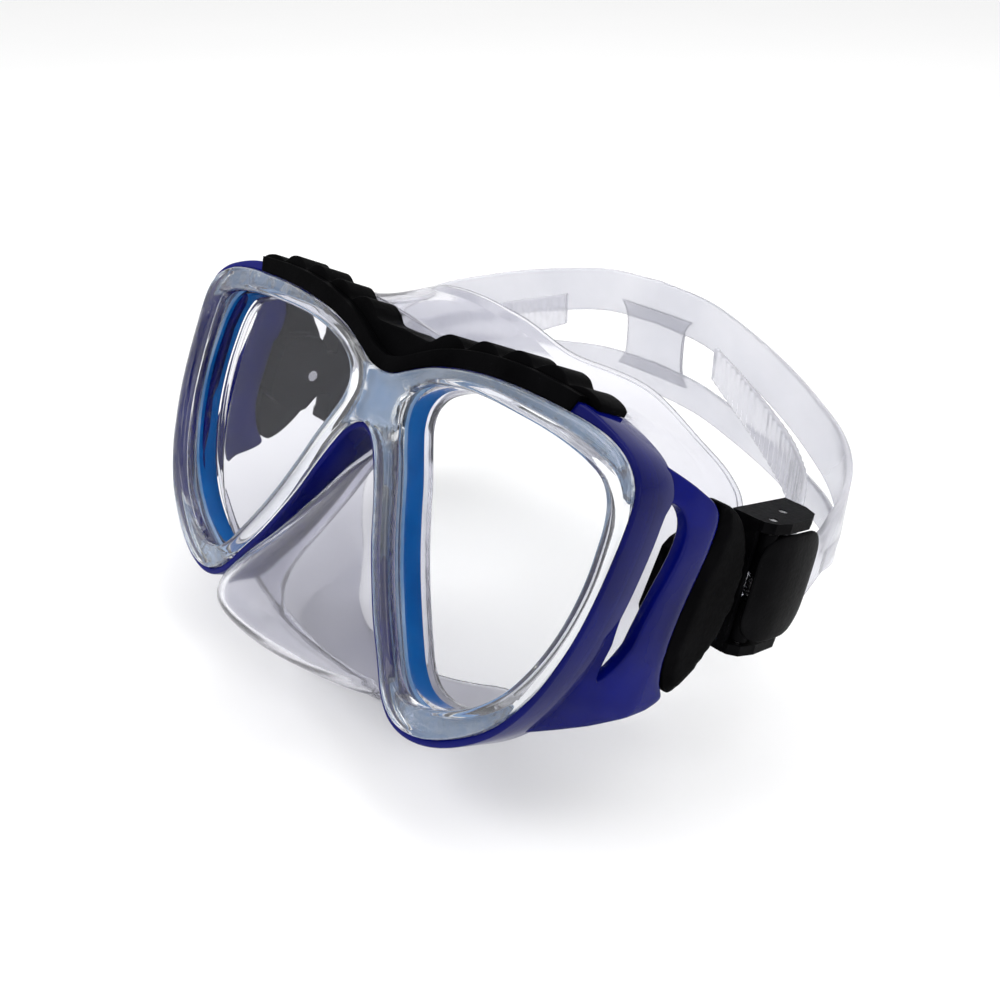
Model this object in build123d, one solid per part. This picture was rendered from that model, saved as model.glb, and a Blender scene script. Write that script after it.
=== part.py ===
from build123d import *
import os
import math
import time

# Diving mask: two tempered lenses in a translucent frame, clear front bezel, black ribbed
# brow guard, clear silicone skirt with a nose pocket, swivelling strap buckles and a split strap.
# Modelled upright first (lens plane = XZ, front = -Y, top = +Z, x = 0 is the symmetry plane),
# then leaned back about X so that the mask rests on its lower frame edge and lower skirt edge.
# Millimetres.

os.makedirs("parts", exist_ok=True)

# ---------------------------------------------------------------- driving dimensions
LEAN = -27.08            # backward lean of the resting mask about X, degrees
FLOOR = 52.6             # depth of the resting plane below the lens centre, after the lean
Y_SHIFT = -35.1          # puts the middle of the mask's depth on the origin

BEZEL_FRONT = -4.5       # front face of the clear bezel
LIP_BACK = -0.6          # back of the bezel lip, where the glass seats
LENS_FRONT = -0.5
LENS_T = 3.1             # glass thickness
FRAME_WALL_FRONT = -3.0  # front edge of the thin wall round the bezel
SEAT_FRONT = 2.8         # front of the frame's lens seat
FRAME_BACK = 8.4         # back of the frame ring
SKIRT_PLATE = (8.5, 10.0)
SILICONE_T = 1.6
COLLAR_T = 1.25
ARM_T = 3.2              # side arm thickness

PIN_Y, PIN_Z = 33.5, 10.5     # buckle swivel axis, upright frame
PIN_R = 1.6
RUN = 0.05                   # radial running clearance
BUCKLE_X = 74.0              # x of the buckle's local origin
BUCKLE_TILT = 12.0           # buckle attitude against the frame at rest, degrees
BUCKLE_Z = 15.5              # half height of the buckle
ROLLER_R = 2.0
ROLLER_X, ROLLER_Y = 2.05, 19.7
LEVER_X, LEVER_Y = 4.4, 12.4
ROLLER_PIN_R = 1.0
LEVER_PIN_R = 1.0
STRAP_T = 1.6
STRAP_GAP = 0.35             # strap's clearance round the roller

# lens opening, right-hand side (x, z)
OPENING = [(72.0, 10), (71.8, 15.5), (71.3, 20.5), (70.0, 24.6), (67.4, 27.6), (63.0, 29.4), (57.0, 30.7),
           (50.0, 31.5), (42.0, 31.9), (34.0, 32.1), (27.0, 31.7), (20.5, 30.6), (14.5, 28.6), (10.4, 25.8),
           (8.6, 22.4), (8.9, 18.6), (10.6, 14.6), (12.6, 10.6), (14.6, 6.4), (16.4, 2.0), (18.6, -3.0),
           (21.0, -8.0), (23.9, -13.4), (27.2, -18.9), (30.6, -24.2), (33.8, -28.6), (37.6, -31.6), (42.4, -32.3),
           (48.6, -30.3), (54.8, -26.8), (60.0, -22.4), (64.0, -17.6), (66.8, -12.6), (69.0, -7.2), (70.6, -1.6),
           (71.6, 4.2)]
# outer edge of the clear bezel, right half, from the top of the bridge round to the nose arch
BEZEL = [(0, 27.3), (4, 27.9), (9, 30.2), (15, 32.8), (22, 34.7), (30, 36.0), (40, 36.6), (50, 36.5), (60, 35.9),
         (66, 34.7), (70.2, 32.7), (73.2, 29.9), (74.7, 26.4), (75.1, 21), (75.0, 14), (74.6, 7), (73.8, 0),
         (72.3, -7), (70.1, -14), (67.1, -20.2), (63.0, -26.3), (57.3, -31.6), (51.0, -35.8), (45.8, -38.0),
         (41.0, -38.6), (37.4, -37.7), (33.7, -35.0), (28.8, -28.3), (23.8, -21.5), (19.3, -14.0), (15.3, -6.6),
         (12.3, 0.2), (9.6, 5.8), (6.6, 11.0), (3.4, 14.2), (0, 15.4)]
# outer edge of the blue frame, right half
FRAME = [(0, 29.8), (5, 30.9), (10, 33.3), (16, 36.0), (23, 38.0), (31, 39.3), (40, 39.8), (50, 39.4), (59, 38.4),
         (66, 36.4), (71.2, 34.0), (74.6, 30.8), (76.0, 27.0), (76.4, 21), (76.3, 14), (75.9, 7), (75.1, 0),
         (73.7, -7), (71.6, -14), (68.6, -20.8), (64.4, -27.2), (58.6, -32.8), (52.0, -37.2), (46.3, -39.5),
         (41.0, -40.2), (36.5, -39.2), (32.4, -36.1), (27.4, -29.3), (22.4, -22.5), (17.9, -15.0), (13.9, -7.5),
         (10.9, -0.5), (8.2, 5.0), (5.3, 9.8), (2.7, 12.8), (0, 13.9)]


T0 = time.time()


# ---------------------------------------------------------------- helpers
def sample(points, closed, n):
    """Points on a centripetal spline through the given (a, b) points."""
    edge = Spline(*[(a, b, 0) for a, b in points], periodic=closed)
    last = n if closed else n - 1
    return [(edge.position_at(i / last).X, edge.position_at(i / last).Y) for i in range(n)]


def offset_loop(loop, d):
    """Offset a closed (a, b) loop outward by d along its normals."""
    n = len(loop)
    area = sum(loop[i][0] * loop[(i + 1) % n][1] - loop[(i + 1) % n][0] * loop[i][1] for i in range(n))
    s = 1.0 if area > 0 else -1.0
    out = []
    for i in range(n):
        ax, ay = loop[i - 1]
        bx, by = loop[(i + 1) % n]
        tx, ty = bx - ax, by - ay
        k = math.hypot(tx, ty)
        out.append((loop[i][0] + s * d * ty / k, loop[i][1] - s * d * tx / k))
    return out


def loop_wire(loop, y):
    return Wire.make_polygon([Vector(a, y, b) for a, b in loop], close=True)


def loop_face(loop, y, holes=()):
    """Flat face at depth y inside a closed (x, z) loop, with holes."""
    return Face(loop_wire(loop, y), [loop_wire(h, y) for h in holes])


def whole(points, n=46):
    """Closed symmetric loop from a right-half outline that runs from top to bottom on x = 0."""
    half = sample(points, False, n)
    half[0], half[-1] = (0.0, half[0][1]), (0.0, half[-1][1])
    return half + [(-a, b) for a, b in half[-2:0:-1]]


def flip(loop):
    return [(-a, b) for a, b in loop[::-1]]


def push(face, dy):
    return Solid.extrude(face, Vector(0, dy, 0))


def prism_x(points, x0, x1, smooth=False):
    """Extrude a (y, z) outline from x0 to x1."""
    pts = [(x0, a, b) for a, b in points]
    if smooth:
        face = Face(Wire([Spline(*pts, periodic=True)]))
    else:
        face = Face(Wire.make_polygon([Vector(*p) for p in pts], close=True))
    return Solid.extrude(face, Vector(x1 - x0, 0, 0))


def box(x0, x1, y0, y1, z0, z1):
    return Solid.make_box(x1 - x0, y1 - y0, z1 - z0, Plane(origin=(x0, y0, z0)))


def rod(p, d, r, length):
    return Solid.make_cylinder(r, length, Plane(origin=p, z_dir=d))


def one(shape):
    """The single solid of a boolean result."""
    solids = shape.solids() if hasattr(shape, "solids") else list(shape)
    if len(solids) == 1:
        return solids[0]
    return Compound(children=list(solids))


def fuse(first, *rest):
    return one(first.fuse(*rest).clean())


def cut(first, *rest):
    return one(first.cut(*rest).clean())


def mirror_x(shape):
    return shape.mirror(Plane.YZ)


def lean(shape):
    return shape.rotate(Axis.X, LEAN).translate(Vector(0, Y_SHIFT, FLOOR))


def buckle_place(shape):
    """Buckle frame (origin on the swivel axis) to the upright frame."""
    return shape.rotate(Axis.X, BUCKLE_TILT).translate(Vector(BUCKLE_X, PIN_Y, PIN_Z))


def save(shape, node):
    if hasattr(shape, "label"):
        shape.label = node
    export_step(shape, "parts/" + node + ".step")
    b = shape.bounding_box()
    print("%5.1fs" % (time.time() - T0), end=" ")
    print("%-22s vol %9.1f  x %.1f..%.1f  y %.1f..%.1f  z %.1f..%.1f" % (
        node, shape.volume, b.min.X, b.max.X, b.min.Y, b.max.Y, b.min.Z, b.max.Z))


def both(shape, name):
    """Write a right-hand piece (+X) and its mirror image."""
    save(shape, name + "_right")
    save(mirror_x(shape), name + "_left")


# ---------------------------------------------------------------- profiles
open_loop = sample(OPENING, True, 64)
collar_loop = offset_loop(open_loop, COLLAR_T)
glass_loop = offset_loop(open_loop, 1.7)
well_loop = offset_loop(open_loop, 1.9)
seat_loop = offset_loop(open_loop, COLLAR_T + 0.05)
bezel_loop = whole(BEZEL)
frame_loop = whole(FRAME)
gap_loop = offset_loop(bezel_loop, 0.06)

# ---------------------------------------------------------------- lenses
lens = push(loop_face(glass_loop, LENS_FRONT), LENS_T)
both(lean(lens), "lens")

# ---------------------------------------------------------------- front bezel
lip = push(loop_face(bezel_loop, BEZEL_FRONT, [open_loop, flip(open_loop)]), LIP_BACK - BEZEL_FRONT)
ring = push(loop_face(bezel_loop, LIP_BACK, [well_loop, flip(well_loop)]), SEAT_FRONT - 0.1 - LIP_BACK)
bezel = one(lip.fuse(ring))
save(lean(bezel), "front_bezel")

# ---------------------------------------------------------------- main frame
# window of the side arm (y, z)
WINDOW = [(6.9, 25.0), (8.4, 26.8), (10.6, 27.2), (12.8, 26.0), (14.8, 22.4), (14.4, 16.0), (13.3, 9.0), (12.5, 2.0),
          (12.0, -3.4), (10.9, -8.0), (9.4, -10.6), (8.5, -9.0), (7.4, -3.0), (6.8, 4.0), (6.7, 16.0)]


def arm():
    """Side arm: a curved plate behind the lens ring with a slot, ending in a broad rear bar."""
    def plan(z, xs):
        ys = [4.0, 8.0, 14.0, 20.0, 30.0]
        out = [(x, y, z) for x, y in zip(xs, ys)]
        inn = [(x - ARM_T, y, z) for x, y in zip(xs, ys)]
        return Wire.make_polygon([Vector(*p) for p in out + inn[::-1]], close=True)
    wall = Solid.make_loft([plan(38, [69.0, 71.5, 75.2, 77.4, 78.2]), plan(18, [74.8, 76.4, 77.8, 78.4, 78.4]),
                            plan(-2, [74.2, 76.0, 77.7, 78.4, 78.4]), plan(-16, [69.6, 72.4, 75.4, 77.4, 78.0]),
                            plan(-34, [58.0, 62.0, 67.5, 72.0, 75.0])], True)
    side = [(4.0, 34.0), (8, 33.4), (12, 32.2), (16, 30.8), (19.5, 29.4), (22.0, 27.4), (23.0, 24.0), (22.6, 15.0),
            (21.9, 5.0), (22.6, -3.0), (25.0, -9.0), (28.0, -13.0), (25.5, -15.4), (20.0, -18.0), (14.0, -21.6),
            (8.4, -25.6), (4.0, -28.6)]
    plate = one(prism_x(side, 50, 90).cut(prism_x(WINDOW, 49, 91)))
    return one(wall.intersect(plate))


wall = push(loop_face(frame_loop, FRAME_WALL_FRONT, [gap_loop]), SEAT_FRONT - FRAME_WALL_FRONT)
ring = push(loop_face(frame_loop, SEAT_FRONT, [seat_loop, flip(seat_loop)]), FRAME_BACK - SEAT_FRONT)
ring_hole = push(loop_face(seat_loop, SEAT_FRONT - 0.5), FRAME_BACK)
side_arm = one(arm().cut(ring_hole))
frame = one(wall.fuse(ring, side_arm, mirror_x(side_arm)))
arm_window = prism_x(WINDOW, 73.95, 91)
frame = one(frame.cut(arm_window, mirror_x(arm_window)))
save(lean(frame), "main_frame")

# ---------------------------------------------------------------- brow guard
def brow_half():
    base = [(a, b) for a, b in offset_loop(frame_loop, 0.06) if 0 <= a < 59 and b > 25]
    base[0] = (0.0, base[0][1])
    crest = [(0, 37.7), (6, 37.4), (9.6, 37.6), (12.2, 39.6), (15.0, 40.8), (18.0, 40.4), (20.4, 39.2), (22.4, 40.9),
             (25.0, 42.3), (28.0, 42.0), (30.4, 40.6), (32.2, 42.0), (34.8, 43.3), (37.8, 43.0), (40.2, 41.3),
             (42.0, 42.4), (44.6, 43.4), (47.6, 42.8), (49.8, 41.0), (51.6, 41.4), (54.0, 41.6), (56.6, 40.6),
             (58.0, 39.4), (60.2, 38.9)]
    top = sample(crest, False, 44)
    low = base
    loop = top + low[::-1]
    return [(0.0, top[0][1])] + top[1:] + low[:0:-1] + [(0.0, low[0][1])]


bh = brow_half()
brow = push(loop_face(bh + [(-a, b) for a, b in bh[-2:0:-1]], -1.2), 9.0)
save(lean(brow), "brow_guard")

# ---------------------------------------------------------------- skirt
SKIRT_SECTIONS = {
    8.5: [(0, 39.0), (14, 40.3), (28, 40.9), (40, 40.9), (53, 38.9), (62.6, 33.6), (67.6, 25), (68.2, 10), (66.8, -4),
          (62.6, -17), (55.5, -27), (46, -34.5), (34, -39.5), (22, -43), (10, -45), (0, -45.3)],
    13.0: [(0, 47.5), (14, 45.8), (28, 41.8), (40, 40.6), (53, 38.6), (61.5, 34.0), (65.6, 26), (66.2, 10), (65.4, -4),
           (61.6, -17), (54.8, -27.5), (45, -36), (34, -42), (22, -45.5), (10, -47), (0, -47.2)],
    22.0: [(0, 51.6), (14, 50.0), (28, 43.4), (40, 40.2), (53, 38.0), (61.5, 33.4), (65.8, 26), (66.2, 10), (65.4, -3),
           (62, -15), (56, -25.5), (46, -36.5), (35, -45), (24, -48.6), (10, -48.9), (0, -48.9)],
    40.0: [(0, 52.0), (14, 51.8), (28, 49.4), (40, 45.2), (53, 38.0), (61.5, 32.6), (65.4, 25.6), (66.2, 10), (65.4, -2),
           (62.6, -12), (57, -21.5), (48, -31), (40, -37.6), (30, -39.8), (12, -39.9), (0, -39.9)],
    60.0: [(0, 50.0), (14, 50.0), (28, 48.0), (40, 44.4), (53, 37.6), (61.5, 31.6), (65, 24.6), (65.8, 12), (65, 1),
           (62.6, -7), (57, -15), (48, -23), (38, -28.6), (28, -29.6), (12, -29.6), (0, -29.6)],
}
NOSE = [  # z, half width at the plate, y of the front, for the outer skin
    (9.0, 4.2, 3.4), (3.0, 7.2, -1.4), (-4.0, 10.4, -5.4), (-11.0, 14.0, -9.4), (-18.0, 17.8, -13.6),
    (-25.0, 21.6, -18.8), (-30.0, 23.6, -21.9), (-33.5, 24.2, -22.0), (-37.0, 24.0, -17.8), (-40.0, 22.6, -10.4),
    (-43.5, 20.0, -2.0)]


def full_loop(half):
    return half + [(-a, b) for a, b in half[::-1] if a > 0.01]


def section_wire(half, y, inset):
    loop = full_loop(half)
    dense = sample(loop, True, 40)
    if inset:
        dense = offset_loop(dense, -inset)
    return Wire([Spline(*[(a, y, b) for a, b in dense], periodic=True)])


def nose_wire(z, w, front, inset):
    w, front = w - inset, front + inset
    back = SKIRT_PLATE[1] + (0.6 if inset else -0.3)
    d = front - back
    pts = [(w, back), (w * 0.93, back + d * 0.30), (w * 0.80, back + d * 0.58), (w * 0.58, back + d * 0.82),
           (w * 0.30, back + d * 0.95), (0, back + d), (-w * 0.30, back + d * 0.95), (-w * 0.58, back + d * 0.82),
           (-w * 0.80, back + d * 0.58), (-w * 0.93, back + d * 0.30), (-w, back)]
    e = Spline(*[(a, b, z) for a, b in pts])
    return Wire([e, Line((-w, back, z), (w, back, z))])


ys = sorted(SKIRT_SECTIONS)
outer = Solid.make_loft([section_wire(SKIRT_SECTIONS[y], y, 0) for y in ys], False)
inner = Solid.make_loft([section_wire(SKIRT_SECTIONS[y], y, SILICONE_T) for y in ys], False)
inner = one(inner.cut(box(-120, 120, -20, SKIRT_PLATE[1], -80, 90)))
inner = one(inner.cut(box(-120, 120, 200, 201, -80, 90)))
nose_out = Solid.make_loft([nose_wire(z, w, f, 0) for z, w, f in NOSE], False)
NOSE_IN = [(NOSE[0][0] - 1.5,) + NOSE[0][1:]] + NOSE[1:-1] + [(NOSE[-1][0] + 1.6,) + NOSE[-1][1:]]
nose_in = Solid.make_loft([nose_wire(z, w, f, 1.5) for z, w, f in NOSE_IN], False)

# edge that meets the face: plan line at z = 50, running back 0.155 mm for each mm lower
FACE_LINE = [(0, 17), (12, 18.2), (24, 23.5), (34, 31), (42, 36.5), (50, 40), (57, 43.5), (62, 47), (66, 51), (80, 64)]
f_pts = sample([(-a, b) for a, b in FACE_LINE[::-1]] + FACE_LINE[1:], False, 41)
f_low = [Vector(a, b + 0.155 * 150, -100) for a, b in f_pts + [(80, 170), (-80, 170)]]
face_cut = Solid.extrude(Face(Wire.make_polygon(f_low, close=True)), Vector(0, -0.155 * 180, 180))

below_floor = box(-150, 150, -150, 200, -100, 0)
below_inner = box(-150, 150, -150, 200, -100, SILICONE_T)

skin = lean(one(outer.fuse(nose_out)))
skin = one(skin.cut(below_floor))
hollow = lean(one(inner.fuse(nose_in)))
hollow = one(hollow.cut(below_inner))
skirt = one(skin.cut(hollow))
skirt = one(skirt.cut(lean(face_cut)))
hole = push(loop_face(open_loop, 0), 20)
skirt = one(skirt.cut(lean(hole), lean(mirror_x(hole))))
collar = push(loop_face(collar_loop, SEAT_FRONT + 0.02), SKIRT_PLATE[0] + 0.5 - SEAT_FRONT)
collar = one(collar.cut(push(loop_face(open_loop, 0), 20)))
skirt = fuse(skirt, lean(collar), lean(mirror_x(collar)))
save(skirt, "skirt")

# ---------------------------------------------------------------- buckle base and side bumper (on the frame)
base_side = [(21.0, 17.0), (22.5, 19.0), (24.6, 20.3), (28, 21.4), (32, 21.8), (34.5, 20.2), (37.0, 16.0), (37.8, 10.5),
             (37.0, 5.0), (34.5, 0.6), (32, -0.8), (28, -0.4), (24.6, 0.7), (22.5, 2.0), (21.0, 4.0)]
base = prism_x(base_side, 68.9, 74.5)
slot = prism_x([(24.6, 20.5), (45, 30.0), (45, -9.0), (24.6, 0.5)], 70.35, 73.65)
base = cut(base, slot, rod((60, PIN_Y, PIN_Z), (1, 0, 0), PIN_R + 0.01, 20))
both(lean(base), "buckle_base")

bump_side = [(20.6, 29.6), (24.5, 29.4), (29.0, 27.8), (33.4, 24.8), (36.8, 20.6), (39.0, 15.4), (39.9, 9.6), (39.4, 3.6),
             (37.6, -2.0), (34.6, -7.0), (30.8, -11.2), (27.0, -14.6), (28.2, -12.7), (25.2, -8.9), (22.85, -2.95),
             (22.15, 5.0), (22.85, 15.0), (23.25, 24.05), (22.2, 27.6)]
bumper = prism_x(bump_side, 74.55, 79.6)
bumper = cut(bumper, rod((60, PIN_Y, PIN_Z), (1, 0, 0), PIN_R + 0.01, 17.0))
both(lean(bumper), "side_bumper")

swivel_pin = rod((69.1, PIN_Y, PIN_Z), (1, 0, 0), PIN_R, 7.6)
both(lean(swivel_pin), "swivel_pin")

# ---------------------------------------------------------------- buckle (turns on the swivel pin)
H = BUCKLE_Z
EAR = (-3.3, -0.7)       # local x of the ear, inside the base's slot


def buckle_body():
    ear = rod((EAR[0], 0, 0), (1, 0, 0), 6.2, EAR[1] - EAR[0])
    neck = box(EAR[0], EAR[1], 0, 9.0, -6.2, 6.2)
    front = box(EAR[0], 3.6, 8.6, 10.0, -H, H)
    plate = box(EAR[0], EAR[0] + 1.1, 9.0, 28.6, -H, H)
    cheek = [(8.8, EAR[0]), (8.8, 4.6), (10.6, 6.6), (15, 7.6), (23, 7.4), (27, 5.6), (28.8, 2.2), (28.8, EAR[0])]
    w = Wire.make_polygon([Vector(x, y, 0) for y, x in cheek], close=True)
    c = Solid.extrude(Face(w), Vector(0, 0, 2.4))
    top = c.translate(Vector(0, 0, H - 2.4))
    low = c.translate(Vector(0, 0, -H))
    body = fuse(ear, neck, front, plate, top, low)
    tools = [rod((-20, 0, 0), (1, 0, 0), PIN_R + RUN, 40),
             rod((ROLLER_X, ROLLER_Y, -30), (0, 0, 1), ROLLER_PIN_R + 0.01, 60),
             rod((LEVER_X, LEVER_Y, -30), (0, 0, 1), LEVER_PIN_R + 0.01, 60)]
    return cut(body, *tools)


both(lean(buckle_place(buckle_body())), "buckle_body")

roller_len = 2 * (H - 2.4) - 1.0
roller = cut(rod((ROLLER_X, ROLLER_Y, -roller_len / 2), (0, 0, 1), ROLLER_R, roller_len),
             rod((ROLLER_X, ROLLER_Y, -30), (0, 0, 1), ROLLER_PIN_R + RUN, 60))
both(lean(buckle_place(roller)), "strap_roller")
roller_pin = rod((ROLLER_X, ROLLER_Y, -H + 0.2), (0, 0, 1), ROLLER_PIN_R, 2 * H - 0.4)
both(lean(buckle_place(roller_pin)), "roller_pin")
lever_pin = rod((LEVER_X, LEVER_Y, -H + 0.2), (0, 0, 1), LEVER_PIN_R, 2 * H - 0.4)
both(lean(buckle_place(lever_pin)), "lever_pin")


def lever():
    """Outer release lever: a slightly bowed plate on the lever pin; the rear edge lifts outward."""
    out = [(9.2, 6.1), (11.2, 6.9), (14.2, 7.9), (18, 8.6), (23, 8.6), (27, 8.2), (30.2, 7.6)]
    inn = [(29.8, 6.5), (27, 6.8), (23.6, 6.95), (18.6, 6.95), (15.8, 6.7), (14.0, 6.3), (12.4, 5.7), (9.2, 5.2)]
    w = Wire.make_polygon([Vector(x, y, 0) for y, x in out + inn], close=True)
    hh = H - 2.4 - 0.35
    plate = Solid.extrude(Face(w), Vector(0, 0, 2 * hh)).translate(Vector(0, 0, -hh))
    hub = rod((LEVER_X, LEVER_Y, -hh), (0, 0, 1), 2.0, 2 * hh)
    return cut(fuse(plate, hub), rod((LEVER_X, LEVER_Y, -30), (0, 0, 1), LEVER_PIN_R + RUN, 60),
               box(2.0, 6.6, LEVER_Y - 2.2, LEVER_Y + 2.2, -3.2, 3.2))


both(lean(buckle_place(lever())), "release_lever")

spring_path = Helix(pitch=0.9, height=4.5, radius=1.55, center=(LEVER_X, LEVER_Y, -2.25), direction=(0, 0, 1))
start = spring_path.position_at(0)
prof = Plane(origin=start, z_dir=spring_path.tangent_at(0)) * Circle(0.3)
spring = Solid.sweep(prof.face() if hasattr(prof, "face") else prof, Wire([spring_path]))
both(lean(buckle_place(one(spring))), "lever_spring")

# ---------------------------------------------------------------- strap
# stations in the resting frame before the final shift: x, y, z of the centre line, half height
tilt = math.radians(BUCKLE_TILT + LEAN)
pin_y = PIN_Y * math.cos(math.radians(LEAN)) - PIN_Z * math.sin(math.radians(LEAN))
pin_z = PIN_Y * math.sin(math.radians(LEAN)) + PIN_Z * math.cos(math.radians(LEAN))


def from_buckle(lx, ly, lz=0.0):
    return (BUCKLE_X + lx, pin_y + ly * math.cos(tilt) - lz * math.sin(tilt),
            pin_z + ly * math.sin(tilt) + lz * math.cos(tilt))


loop_r = ROLLER_R + STRAP_GAP + STRAP_T / 2
LIFT = 1.5               # the strap rides this far above the buckle's middle
inner_x = ROLLER_X - loop_r
outer_x = ROLLER_X + loop_r
tail = [(27, 95.6, 11.0, 4.6), (38, 92.8, 6.4, 5.6), (50, 89.0, 1.6, 6.4), (60, 84.4, -2.4, 7.0),
        (67.0, 78.6, -5.6, 7.6), (71.4, 71.0, -8.4, 8.0),
        from_buckle(inner_x - 0.3, 32.0, LIFT) + (8.2,), from_buckle(inner_x, 27.5, LIFT) + (8.3,)]
turn = []
for k in range(9):
    a = math.radians(180 + 22.5 * k)          # inner side, round the front, to the outer side
    turn.append(from_buckle(ROLLER_X + loop_r * math.cos(a), ROLLER_Y + loop_r * math.sin(a), LIFT) + (8.3,))
main = [from_buckle(outer_x, 26.5, LIFT) + (8.3,), from_buckle(outer_x + 0.1, 31.5, LIFT) + (8.3,),
        (79.9, 70.0, -8.4, 8.2), (79.2, 76.0, -4.8, 8.3), (76.0, 82.4, -1.0, 8.1), (69.6, 88.0, 2.4, 7.8),
        (60.0, 92.6, 6.0, 7.3), (48.0, 96.8, 10.0, 6.9), (34.0, 100.4, 13.8, 6.5), (18.0, 103.2, 17.2, 6.2),
        (0.0, 104.2, 18.2, 6.1)]
lower = [(79.8, 70.5, -12.6, 3.2), (78.9, 76.2, -12.8, 3.6), (75.4, 82.0, -12.8, 4.0), (69.2, 87.4, -12.0, 4.4),
         (60.0, 91.6, -10.6, 4.6), (48.0, 95.8, -8.6, 4.6), (34.0, 99.6, -6.6, 4.6), (18.0, 102.4, -4.4, 4.6),
         (0.0, 103.6, -3.6, 4.6)]


def refine(stations, steps):
    """More stations by Catmull-Rom interpolation."""
    out = []
    n = len(stations)
    for i in range(n - 1):
        p0, p1, p2, p3 = stations[max(i - 1, 0)], stations[i], stations[i + 1], stations[min(i + 2, n - 1)]
        for s in range(steps):
            t = s / steps
            out.append(tuple(0.5 * ((2 * b) + (-a + c) * t + (2 * a - 5 * b + 4 * c - d) * t * t +
                                    (-a + 3 * b - 3 * c + d) * t ** 3) for a, b, c, d in zip(p0, p1, p2, p3)))
    out.append(stations[-1])
    return out


def ribbon(stations, t, end_on_plane, band_tilt=None):
    wires = []
    n = len(stations)
    for i, (x, y, z, h) in enumerate(stations):
        a, b = stations[max(i - 1, 0)], stations[min(i + 1, n - 1)]
        tx, ty = b[0] - a[0], b[1] - a[1]
        if end_on_plane and i == n - 1:
            tx, ty = -1.0, 0.0
        k = math.hypot(tx, ty)
        nx, ny = -ty / k * t / 2, tx / k * t / 2
        # the strip's width direction: parallel to the roller near the buckle, vertical further back
        w = max(0.0, min(1.0, (y - pin_y - 31.0) / 16.0)) if x > 60 else 1.0
        ang = tilt * (1 - w)
        uy, uz = -math.sin(ang) * h, math.cos(ang) * h
        wires.append(Wire.make_polygon([Vector(x + nx, y + ny + uy, z + uz), Vector(x - nx, y - ny + uy, z + uz),
                                        Vector(x - nx, y - ny - uy, z - uz), Vector(x + nx, y + ny - uy, z - uz)],
                                       close=True))
    return Solid.make_loft(wires, True)


upper_run = refine(tail, 2) + turn + refine(main, 3)
band = ribbon(upper_run, STRAP_T, True)
low_band = ribbon(refine(lower, 3), 1.6, True)
half = one(band.fuse(low_band))
half = one(half.fuse(box(0, 10.0, 102.9, 104.3, -3.0, 16.0)))
strap = fuse(half, mirror_x(half))
strap = strap.translate(Vector(0, Y_SHIFT, FLOOR))
save(strap, "strap")
print("pin axis (lean frame, mm): y %.3f z %.3f" % (pin_y + Y_SHIFT, pin_z + FLOOR))
for nm, p in (("roller", from_buckle(ROLLER_X, ROLLER_Y)), ("lever pin", from_buckle(LEVER_X, LEVER_Y))):
    print(nm, round(p[0], 3), round(p[1] + Y_SHIFT, 3), round(p[2] + FLOOR, 3))
print("buckle axis direction", 0, round(-math.sin(tilt), 5), round(math.cos(tilt), 5))
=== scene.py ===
import bpy
import math
import numpy as np
from mathutils import Matrix, Vector
from mathutils.geometry import delaunay_2d_cdt


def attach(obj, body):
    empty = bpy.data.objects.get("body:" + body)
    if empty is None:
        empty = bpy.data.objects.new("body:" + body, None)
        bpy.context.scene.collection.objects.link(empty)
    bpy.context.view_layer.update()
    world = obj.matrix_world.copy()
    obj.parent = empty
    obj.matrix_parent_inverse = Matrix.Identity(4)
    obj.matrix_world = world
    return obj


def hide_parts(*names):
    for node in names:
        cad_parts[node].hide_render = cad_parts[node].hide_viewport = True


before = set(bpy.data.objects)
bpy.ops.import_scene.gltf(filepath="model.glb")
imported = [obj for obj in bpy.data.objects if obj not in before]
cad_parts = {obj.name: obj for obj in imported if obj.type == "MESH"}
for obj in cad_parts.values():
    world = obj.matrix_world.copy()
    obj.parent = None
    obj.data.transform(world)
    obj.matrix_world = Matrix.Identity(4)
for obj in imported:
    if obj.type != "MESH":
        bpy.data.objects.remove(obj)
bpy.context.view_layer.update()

RNG = np.random.default_rng(7)

# ------------------------------------------------------------------ shared frame, millimetres
LEAN = math.radians(-27.08)
FLOOR = 52.6
Y_SHIFT = -35.1
CL, SL = math.cos(LEAN), math.sin(LEAN)
PIN_Y, PIN_Z = 33.5, 10.5
TILT = math.radians(12.0) + LEAN
PY = PIN_Y * CL - PIN_Z * SL
PZ = PIN_Y * SL + PIN_Z * CL


def row(p):
    """Upright millimetres (N, 3) to the row frame in metres."""
    p = np.asarray(p, float)
    out = np.empty_like(p)
    out[..., 0] = p[..., 0]
    out[..., 1] = p[..., 1] * CL - p[..., 2] * SL + Y_SHIFT
    out[..., 2] = p[..., 1] * SL + p[..., 2] * CL + FLOOR
    return out / 1000.0


def rest(p):
    """Resting-frame millimetres, before the shift, to metres."""
    p = np.asarray(p, float)
    return (p + np.array([0.0, Y_SHIFT, FLOOR])) / 1000.0


def flip_x(p):
    q = np.array(p, float)
    q[..., 0] *= -1
    return q


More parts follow.
